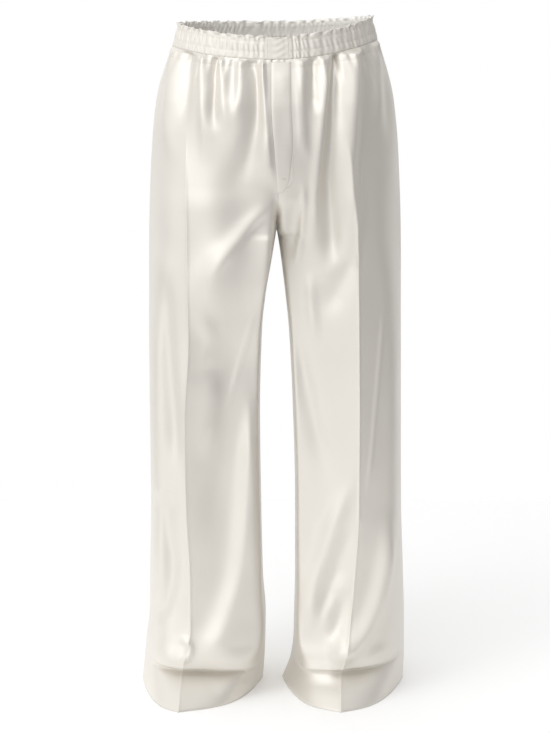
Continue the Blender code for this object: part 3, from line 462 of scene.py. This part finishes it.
def panelPoints(leg, face, u, z):
    grid = panelGrid
    x, y = base(leg, face, u, z)
    # which way is out, level, from the base's own run
    least = grid["slopeStep"]
    step = least + grid["slopeStepMiddle"] * np.sin(np.pi * u)
    step = np.where((u > least) & (u < 1 - least), np.minimum(step, np.minimum(u, 1 - u)), least)
    near = np.clip(u, least, 1 - least)
    x0, y0 = base(leg, face, near - step, z)
    x1, y1 = base(leg, face, near + step, z)
    way = (-1 if leg == "right" else 1) * (-1 if face == "front" else 1)
    nx, ny = way * (y1 - y0), -way * (x1 - x0)
    size = np.hypot(nx, ny) + tiny
    nx, ny = nx / size, ny / size
    angle = waistAngle(leg, face, u)
    below = -form["bandHalf"] - z
    share, count, start = grid["gatherRunVaries"]
    run = grid["gatherRun"] * (1 + share * np.sin(count * angle + start))
    share, count = grid["gatherMmVaries"]
    gather = grid["gatherMm"] * 0.001 * (1 - share + share * np.sin(count * angle)) * gatherWave(angle)
    gather = gather * np.exp(-((np.maximum(below, 0) / run) ** grid["gatherFall"]))
    onTorso = smooth(form["crotch"] + form["riseCurve"] / 2, form["crotch"] + form["riseCurve"], z)
    fade = smooth(*grid["sideFade"], u) * (1 - (1 - onTorso) * smooth(*grid["inseamFade"], u))
    raised = foldHeight(foldTables[leg + face], x, z) * fade + gather
    raised = raised + swell(leg, face, u, z) * fade
    if face == "front":
        fromFly = np.abs(x - read(centreSeam, "x", z) - form["flyWidth"] / 2) - form["flyWidth"] / 2
        bottom = form["flyTop"] - form["flyLength"]
        beside = smooth(0.0, form["flyEase"], fromFly)
        raised = raised * (1 - (1 - beside) * smooth(bottom - 3 * form["flyEase"], bottom, z))
    # the pressed crease and the seams' valleys
    around = np.abs(u - 0.5) * grid["creaseSpan"]
    crease = grid["creaseMm"] * 0.001 * bell(0, grid["creaseWidthMm"] * 0.001, around)
    toSeam = np.minimum(u, 1 - u) * grid["seamSpan"]
    raised = raised + crease * smooth(*grid["creaseStarts"][leg], z)
    valley = 1 - grid["flatSeams"] * (u > 0.5) * (face == "front")
    raised = raised - grid["seamMm"] * 0.001 * bell(0, grid["seamWidthMm"] * 0.001, toSeam) * valley
    row = grid["rowMm"] * 0.001 * bell(grid["rowHeight"], grid["rowWidthMm"] * 0.001, z) * fade
    raised = raised - row * (beside if face == "front" else 1.0)
    # at the waistband's seam the cloth starts on the band's own gathers, and its edge goes up inside
    opened = smooth(0.0, grid["easeMm"] * 0.001, below)
    seamed = bandPuff(angle, -0.5) - grid["tuckInMm"] * 0.001 * smooth(*grid["tuckStarts"], below)
    raised = seamed + (raised - seamed) * opened
    z = z + waistDip(leg, face, u) * smooth(form["dipEnds"], -form["bandHalf"], z)
    return np.stack([x + nx * raised, y + ny * raised, z + 0 * u], -1)


def addMesh(name, points, quads, material):
    mesh = bpy.data.meshes.new(name)
    mesh.from_pydata(points.reshape(-1, 3).tolist(), [], quads.reshape(-1, 4).tolist())
    mesh.shade_smooth()
    mesh.materials.append(material)
    made = bpy.data.objects.new(name, mesh)
    bpy.context.scene.collection.objects.link(made)
    return made


def gridMesh(name, points, material):
    rows, columns = points.shape[:2]
    ids = np.arange(rows * columns).reshape(rows, columns)
    quads = np.stack([ids[:-1, :-1], ids[1:, :-1], ids[1:, 1:], ids[:-1, 1:]], -1)
    return addMesh(name, points, quads, material)


# a wall with the cloth's dull side inside
def thicken(piece, thickness):
    piece.data.materials.append(dullSideWithPaintedLight)
    wall = piece.modifiers.new("wall", "SOLIDIFY")
    wall.material_offset = 1
    wall.thickness = thickness
    wall.offset = -1.0
    wall.use_rim = True
    return piece


def addPanel(leg, face, material):
    columns, rows = panelGrid[face]
    u, z = panelColumns(leg, face, columns), panelHeights(rows)
    points = panelPoints(leg, face, *np.meshgrid(u, z))
    # faces point out on every panel
    if (leg == "right") != (face == "front"):
        points = points[:, ::-1]
    return thicken(gridMesh(f"{face}Panel_{leg}", points, material), panelGrid["wallMm"] * 0.001)


def bandPoints(angles, heights, wave=1.0):
    angles, heights = np.meshgrid(angles, heights)
    z = np.minimum(heights, 0.5) * 2 * form["bandHalf"]
    over = np.clip(heights - 0.5, 0, None)          # the frill above the elastic, from 0 to 1
    front, right = np.sin(angles) < 0, np.cos(angles) < 0
    centre = read(centreSeam, "x", z) * front
    half = read(torso, "half", z)
    depth = np.where(front, read(torso, "front", z), read(torso, "back", z))
    sideDip = np.where(right, form["dip"]["right"], form["dip"]["left"])
    middleDip = np.where(front, form["dip"]["front"], form["dip"]["back"])
    dip = sideDip + (middleDip - sideDip) * np.sin(angles) ** 2
    side = np.where(right, -half, half)
    x, y = centre + (side - centre) * np.abs(np.cos(angles)), depth * np.sin(angles)
    nx, ny = np.cos(angles) / half, np.sin(angles) / depth
    size = np.hypot(nx, ny)
    phase = gatherPhase(angles)
    finer, start = band["flareWave"]
    flare = over * band["headingFlareMm"] * 0.001 * np.sin(phase * finer + start)
    out = bandPuff(angles, np.minimum(heights, 0.5)) * wave + flare
    uneven = sum(size * np.sin(phase * finer + start) for size, finer, start in band["riseWaves"])
    rise = over * band["headingMm"] * 0.001 * (1 + uneven)
    return np.stack([x + nx / size * out, y + ny / size * out, z + dip + rise], -1)


def tabAngles():
    half, centre = torso["half"][-1], centreSeam["x"][-1]
    starts = math.asin((centre - band["tabPastCentre"]) / half)
    ends = math.asin((centre + form["flyWidth"]) / half)
    return starts - math.pi / 2, ends - math.pi / 2


def addWaistband(material):
    tabStarts, tabEnds = tabAngles()
    start, end = tabEnds, tabStarts + 2 * math.pi
    angles = np.linspace(start, end, band["columns"])
    heights = np.concatenate([np.linspace(-0.5, 0.5, band["rows"]), band["headingRows"]])
    wave = smooth(0, band["tabEase"], np.minimum(angles - start, end - angles))
    points = bandPoints(angles, heights, wave[None, :])
    return thicken(gridMesh("elasticWaistband", points[::-1], material), band["wallMm"] * 0.001)


tab = dict(
    columns=40, headingRows=(0.65, 0.8, 0.95), gathered=0.15,
    creaseMm=0.22, creaseTurns=19, creaseStart=0.6,    # small creases across it
    creaseBend=2.5, creaseBends=5,                     # how far and how often they bend
)


def addWaistTab(material):
    start, end = tabAngles()
    heights = np.concatenate([np.linspace(-0.5, 0.5, band["rows"]), tab["headingRows"]])
    angles = np.linspace(start, end, tab["columns"])
    points = bandPoints(angles, heights, tab["gathered"])
    share = (angles - start) / (end - start)
    bent = tab["creaseBend"] * np.sin(tab["creaseBends"] * share) + tab["creaseStart"]
    creases = np.sin(tab["creaseTurns"] * heights[:, None] + bent) * np.sin(math.pi * share) ** 0.5
    points[..., 1] -= tab["creaseMm"] * 0.001 * creases * (np.abs(heights[:, None]) < 0.5)
    return thicken(gridMesh("waistTab", points[::-1], material), band["wallMm"] * 0.001)


# fly placket

fly = dict(
    columns=30, rows=200, liftMm=0.55, wallMm=0.4, edgeRoll=0.0022, overlapMm=1.4, point=0.6,
    turned=(0.90, 1.0), rollLowers=0.8, turnLowers=0.7,    # its edges lie lower than its middle
    # the dimple below the tab, and the strip's own slight unevenness
    folds=[
        fold([(1, -34), (12, -52), (17, -84)], (9, 8), 0.9, fades=(0.35, 0.5)),
        fold([(8, -95), (12, -130), (9, -165)], (10, 9), -0.5, fades=(0.4, 0.4)),
        fold([(16, -150), (17, -180), (14, -205)], (9, 9), 0.5, fades=(0.4, 0.4)),
    ],
)


def addPlacket(material):
    top, bottom = form["flyTop"], form["flyTop"] - form["flyLength"]
    z = np.linspace(top, bottom, fly["rows"])
    reach = read(torso, "half", z) - read(centreSeam, "x", z)
    edge = np.arccos(form["flyWidth"] / reach) / (math.pi / 2)
    up = np.clip((z - bottom) / form["flyWidth"], 0, 1)
    edge = edge + (1 - edge) * fly["point"] * (1 - np.sqrt(np.clip(1 - (1 - up) ** 2, 0, 1)))
    across = np.linspace(0, 1, fly["columns"])[None, :]
    u = edge[:, None] + (1 - edge[:, None]) * across
    points = panelPoints("left", "front", u, z[:, None] + 0 * u)
    rolled = bell(0, fly["edgeRoll"], across * (1 - edge[:, None]) * panelGrid["seamSpan"])
    # its inner edge laps over the centre seam and turns down there
    turned = smooth(*fly["turned"], across)
    lift = fly["liftMm"] * 0.001 * (1 - fly["rollLowers"] * rolled - fly["turnLowers"] * turned)
    points[..., 0] -= fly["overlapMm"] * 0.001 * turned
    points[..., 1] -= lift + foldHeight(fly["folds"], points[..., 0], z[:, None] + 0 * u)
    return thicken(gridMesh("flyPlacket", points[:, ::-1], material), fly["wallMm"] * 0.001)


# threads

thread = dict(
    lengthMm=1.9, pitchMm=2.8, radiusMm=0.20,
    sunkMm=0.15, proudMm=0.12, sides=6,
    bandRows=(0.36, -0.13, -0.46), clearOfTab=0.01,
    bandSteps=2400, tabSteps=60, rowSteps=700,                  # points on each line
    secondRow=dict(front=(0.01, 0.84), back=(0.01, 0.99)),      # shares of a panel, clear of the placket
    edgeInMm=3.5, edgeTopMm=2, turnMm=28, turn=(0.05, 1.4),      # the line along the placket's edge
    # lines across the placket: from, to and height
    acrossMm=((9, 24, -161), (9, 24, -167), (8, 25, -224)),
    tackMm=(10, 18, -210), tackRowsMm=(0, -0.8, -1.6, -2.4), tackStitchMm=1.1, tackPitchMm=1.2,
)


def steady(line):
    return line / (np.linalg.norm(line, axis=-1, keepdims=True) + tiny)


# stitches along a line on the cloth: each is a short thread that dips in at both ends
def stitchPoints(line, out, lengthMm, pitchMm):
    run = np.concatenate([[0], np.cumsum(np.linalg.norm(np.diff(line, axis=0), axis=1))])
    starts = np.arange(0, run[-1] - lengthMm * 0.001, pitchMm * 0.001)
    stops = starts[:, None] + lengthMm * 0.001 * np.array([0, 0.25, 0.5, 0.75, 1])
    spots = np.stack([np.interp(stops, run, line[:, i]) for i in range(3)], -1)
    outs = np.stack([np.interp(stops, run, out[:, i]) for i in range(3)], -1)
    across = steady(np.cross(outs, steady(spots[:, -1:] - spots[:, :1])))
    sunk, proud = -thread["sunkMm"], thread["proudMm"]
    lift = np.array([sunk, proud, proud, proud, sunk])
    spots = spots + outs * lift[:, None] * 0.001
    turn = np.arange(thread["sides"]) * 2 * math.pi / thread["sides"]
    ring = np.cos(turn)[:, None] * across[:, :, None] + np.sin(turn)[:, None] * outs[:, :, None]
    return spots[:, :, None] + ring * thread["radiusMm"] * 0.001


def addStitches(name, lines, material, lengthMm=thread["lengthMm"], pitchMm=thread["pitchMm"]):
    points = np.concatenate([stitchPoints(line, out, lengthMm, pitchMm) for line, out in lines])
    ids = np.arange(points.size // 3).reshape(points.shape[:3])
    after = np.roll(ids, -1, axis=2)
    quads = np.stack([ids[:, :-1], ids[:, 1:], after[:, 1:], after[:, :-1]], -1)
    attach(addMesh(name, points, quads, material), "root")


# the level way out of a line that runs round the body
def outward(line):
    out = steady(np.cross(np.gradient(line, axis=0), (0, 0, 1)))
    return out * np.sign((out[:, :2] * line[:, :2]).sum(1))[:, None]


def addBandStitches(material):
    tabStarts, tabEnds = tabAngles()
    clear = thread["clearOfTab"]
    angles = np.linspace(tabEnds + clear, tabStarts + 2 * math.pi - clear, thread["bandSteps"])
    wave = smooth(0, band["tabEase"], np.minimum(angles - angles[0], angles[-1] - angles))
    lines = [bandPoints(angles, np.array([row]), wave[None, :])[0] for row in thread["bandRows"]]
    tabRow = np.array([thread["bandRows"][-1]])
    tabSpots = np.linspace(tabStarts, tabEnds, thread["tabSteps"])
    tabLine = bandPoints(tabSpots, tabRow, tab["gathered"])[0]
    addStitches("waistbandStitches", [(line, outward(line)) for line in lines + [tabLine]], material)


def addRowStitches(material):
    lines = []
    for leg in ("right", "left"):
        for face in ("front", "back"):
            u = np.linspace(*thread["secondRow"][face], thread["rowSteps"])
            lines.append(panelPoints(leg, face, u, np.full_like(u, panelGrid["rowHeight"])))
    addStitches("secondRowStitches", [(line, outward(line)) for line in lines], material)


# a point on the placket's face
def flyPoint(x, z):
    u = np.linspace(0.5, 1.0, 400)
    spots = base("left", "front", u, np.full_like(u, z))[0]
    share = np.interp(x, spots[::-1], u[::-1])
    spot = panelPoints("left", "front", np.array([share]), np.array([z]))[0]
    lift = fly["liftMm"] * 0.001 + foldHeight(fly["folds"], spot[:1], np.array([z]))[0]
    return spot - np.array([0, lift, 0])


# lines on the placket, each a list of places in x and z, as stitches that face the viewer
def addFlyLines(name, lines, material, *lengths):
    rows = [np.array([flyPoint(x, z) for x, z in line]) for line in lines]
    towards = np.array([0.0, -1.0, 0.0])
    addStitches(name, [(row, np.tile(towards, (len(row), 1))) for row in rows], material, *lengths)


def addFlyStitches(material):
    top, bottom = form["flyTop"] - thread["edgeTopMm"] * 0.001, form["flyTop"] - form["flyLength"]
    inset, turns = form["flyWidth"] - thread["edgeInMm"] * 0.001, bottom + thread["turnMm"] * 0.001
    edge = [(inset, z) for z in np.linspace(top, turns, 60)]
    edge += [(inset * math.cos(a), turns - inset * math.sin(a)) for a in np.linspace(*thread["turn"], 24)]
    lines = [[(x + read(centreSeam, "x", np.array([z]))[0], z) for x, z in edge]]
    for start, end, z in thread["acrossMm"]:
        lines.append([(x * 0.001, z * 0.001) for x in np.linspace(start, end, 16)])
    addFlyLines("flyStitches", lines, material)
    start, end, z = thread["tackMm"]
    tack = [[(x * 0.001, (z + drop) * 0.001) for x in np.linspace(start, end, 10)]
            for drop in thread["tackRowsMm"]]
    addFlyLines("barTack", tack, material, thread["tackStitchMm"], thread["tackPitchMm"])


# materials

# wraps a node socket, so that shader maths reads as maths
class Socket:
    def __init__(self, tree, socket):
        self.tree = tree
        self.socket = socket

    def maths(self, operation, *values):
        return self.tree.node("ShaderNodeMath", dict(operation=operation), dict(enumerate(values)))

    def __add__(self, other):
        return self.maths("ADD", self, other)

    def __radd__(self, other):
        return self.maths("ADD", other, self)

    def __sub__(self, other):
        return self.maths("SUBTRACT", self, other)

    def __rsub__(self, other):
        return self.maths("SUBTRACT", other, self)

    def __mul__(self, other):
        return self.maths("MULTIPLY", self, other)

    def __rmul__(self, other):
        return self.maths("MULTIPLY", other, self)


class Tree:
    def __init__(self, nodeTree):
        self.nodeTree = nodeTree

    # one way to make any node: its type, its settings, then the values or links of its sockets
    def node(self, kind, settings=None, inputs=None, output=0):
        made = self.nodeTree.nodes.new(kind)
        for key, value in (settings or {}).items():
            setattr(made, key, value)
        for key, value in (inputs or {}).items():
            if isinstance(value, Socket):
                self.nodeTree.links.new(value.socket, made.inputs[key])
            else:
                made.inputs[key].default_value = value
        return Socket(self, made.outputs[output])

    def mix(self, factor, a, b):
        return self.node("ShaderNodeMix", dict(data_type="RGBA"), {0: factor, 6: a, 7: b}, 2)

    def join(self, socket, target):
        self.nodeTree.links.new(socket.socket, target)


satin = dict(
    light=(0.790, 0.757, 0.700, 1.0),
    deep=(0.765, 0.727, 0.664, 1.0),
    metallic=0.38,
    roughness=0.40, roughnessSpread=0.05, roughnessGrain=0.06,
    grainScale=(900.0, 900.0, 45.0), grain=0.10, grainDepth=0.0002,
    cloudScale=7.0,
    sheen=0.05, sheenRoughness=0.4,
)
# gathers scatter the light
gatheredSatin = dict(satin, metallic=0.22, roughness=0.48)
# the satin's inner side is duller, and its colour is painted paler than the cloth's: painted light that
# brightens the shaded inside of the waist
inside = dict(
    satin,
    light=(0.940, 0.920, 0.880, 1.0),
    deep=(0.925, 0.900, 0.855, 1.0),
    metallic=0.0,
    roughness=0.55,
)
threadLook = dict(
    satin,
    light=(0.740, 0.700, 0.630, 1.0),
    deep=(0.700, 0.655, 0.580, 1.0),
    metallic=0.0,
    roughness=0.50,
    grainScale=(4000.0, 4000.0, 4000.0),
    cloudScale=20.0,
)


def makeSatin(name, settings):
    material = bpy.data.materials.new(name)
    material.use_nodes = True
    tree = Tree(material.node_tree)
    shader = material.node_tree.nodes["Principled BSDF"]
    place = tree.node("ShaderNodeTexCoord", output="Object")
    cloudInputs = dict(Vector=place, Scale=settings["cloudScale"], Detail=3.0)
    cloud = tree.node("ShaderNodeTexNoise", inputs=cloudInputs)
    stretched = tree.node("ShaderNodeMapping", inputs=dict(Vector=place, Scale=settings["grainScale"]))
    grain = tree.node("ShaderNodeTexNoise", inputs=dict(Vector=stretched, Scale=1.0, Detail=2.0))
    tree.join(tree.mix(cloud, settings["light"], settings["deep"]), shader.inputs["Base Color"])
    uneven = (cloud - 0.5) * settings["roughnessSpread"] + (grain - 0.5) * settings["roughnessGrain"]
    tree.join(uneven + settings["roughness"], shader.inputs["Roughness"])
    bumpInputs = dict(Height=grain, Strength=settings["grain"], Distance=settings["grainDepth"])
    tree.join(tree.node("ShaderNodeBump", inputs=bumpInputs), shader.inputs["Normal"])
    shader.inputs["Metallic"].default_value = settings["metallic"]
    shader.inputs["Sheen Weight"].default_value = settings["sheen"]
    shader.inputs["Sheen Roughness"].default_value = settings["sheenRoughness"]
    return material


# studio

studio = dict(
    target=(0.0, 0.0, -0.519), distance=4.0, elevation=10.5, lens=126.07,
    keyPlace=(-2.3, -2.6, 1.1), keySize=(1.5, 2.8), keyPower=15.0,
    topPlace=(-0.5, -1.3, 1.6), topSize=(2.4, 1.6), topPower=12.0,
    backdrop=1.0, ambient=0.30,
    # each glow's strength, and the way that it comes from with the share taken off it
    sideGlow=0.72, side=(-0.69, -0.69, 0.22, 0.0),
    behindGlow=0.60, behind=(0.0, 1.3, 0.0, 0.15),
    aboveGlow=0.45, above=(-0.3, 0.0, 1.0, 0.0),
    floorSize=2.4, floorGap=0.0005, floorTone=0.95, floorRoughness=0.9, floorGlow=0.12,
)


def aimAt(thing, target):
    thing.rotation_euler = (Vector(target) - thing.location).to_track_quat("-Z", "Y").to_euler()


def addCamera():
    data = bpy.data.cameras.new("camera")
    data.sensor_fit = "AUTO"
    data.sensor_width = 36.0
    data.lens = studio["lens"]
    camera = bpy.data.objects.new("camera", data)
    tilt, target = math.radians(studio["elevation"]), Vector(studio["target"])
    camera.location = target + Vector((0, -math.cos(tilt), math.sin(tilt))) * studio["distance"]
    aimAt(camera, target)
    bpy.context.scene.collection.objects.link(camera)
    bpy.context.scene.camera = camera


def addLight(name, place, size, power):
    data = bpy.data.lights.new(name, "AREA")
    data.shape = "RECTANGLE"
    data.size, data.size_y = size
    data.energy = power
    light = bpy.data.objects.new(name, data)
    light.location = place
    aimAt(light, studio["target"])
    bpy.context.scene.collection.objects.link(light)


# the room: a broad glow on the left in front, a pale wall behind, some light from above, and dim on the right
def addWorld():
    world = bpy.data.worlds.new("studio")
    bpy.context.scene.world = world
    world.use_nodes = True
    tree = Tree(world.node_tree)
    background = world.node_tree.nodes["Background"]
    way = tree.node("ShaderNodeTexCoord", output="Generated")
    x, y, z = (tree.node("ShaderNodeSeparateXYZ", inputs={0: way}, output=axis) for axis in "XYZ")

    def glow(name):
        alongX, alongY, alongZ, less = studio[name]
        return tree.node("ShaderNodeClamp", inputs=dict(Value=alongX * x + alongY * y + alongZ * z - less))

    side = glow("side")
    strength = side * side * studio["sideGlow"] + glow("behind") * studio["behindGlow"] + studio["ambient"]
    strength = strength + glow("above") * studio["aboveGlow"]
    seen = tree.node("ShaderNodeLightPath", output="Is Camera Ray")
    tree.join(strength + seen * (studio["backdrop"] - strength), background.inputs["Strength"])
    background.inputs["Color"].default_value = (1, 1, 1, 1)


def addFloor():
    height = form["hem"] - studio["floorGap"]
    bpy.ops.mesh.primitive_plane_add(size=studio["floorSize"], location=(0, 0, height))
    floor = bpy.context.object
    floor.name = "floor"
    material = bpy.data.materials.new("paleFloor")
    material.use_nodes = True
    shader = material.node_tree.nodes["Principled BSDF"]
    shader.inputs["Base Color"].default_value = (*[studio["floorTone"]] * 3, 1)
    shader.inputs["Roughness"].default_value = studio["floorRoughness"]
    shader.inputs["Emission Color"].default_value = (1, 1, 1, 1)
    shader.inputs["Emission Strength"].default_value = studio["floorGlow"]
    floor.data.materials.append(material)


# everything together

cloth = makeSatin("ivorySatin", satin)
# the inner side's paler colour is painted light on the shaded inside; its dullness is the satin's own
dullSideWithPaintedLight = makeSatin("satinInside", inside)
gathered = makeSatin("gatheredSatin", gatheredSatin)
sewing = makeSatin("ivoryThread", threadLook)


def dress(piece, node):
    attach(piece, "root")
    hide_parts(node)


for leg in ("right", "left"):
    for face in ("front", "back"):
        panel = addPanel(leg, face, cloth)
        dress(panel, f"{face}_panel_{leg}")
        print("panel", leg, face)

waistband = addWaistband(gathered)
dress(waistband, "waistband")
print("waistband")

dress(addWaistTab(gathered), "waist_tab")
print("waist tab")

addBandStitches(sewing)
addRowStitches(sewing)
addFlyStitches(sewing)
print("stitching")

dress(addPlacket(cloth), "fly_placket")
print("fly placket")

addCamera()
addLight("key", studio["keyPlace"], studio["keySize"], studio["keyPower"])
addLight("top", studio["topPlace"], studio["topSize"], studio["topPower"])
addWorld()
addFloor()
bpy.context.scene.view_settings.view_transform = "Standard"
print("studio")
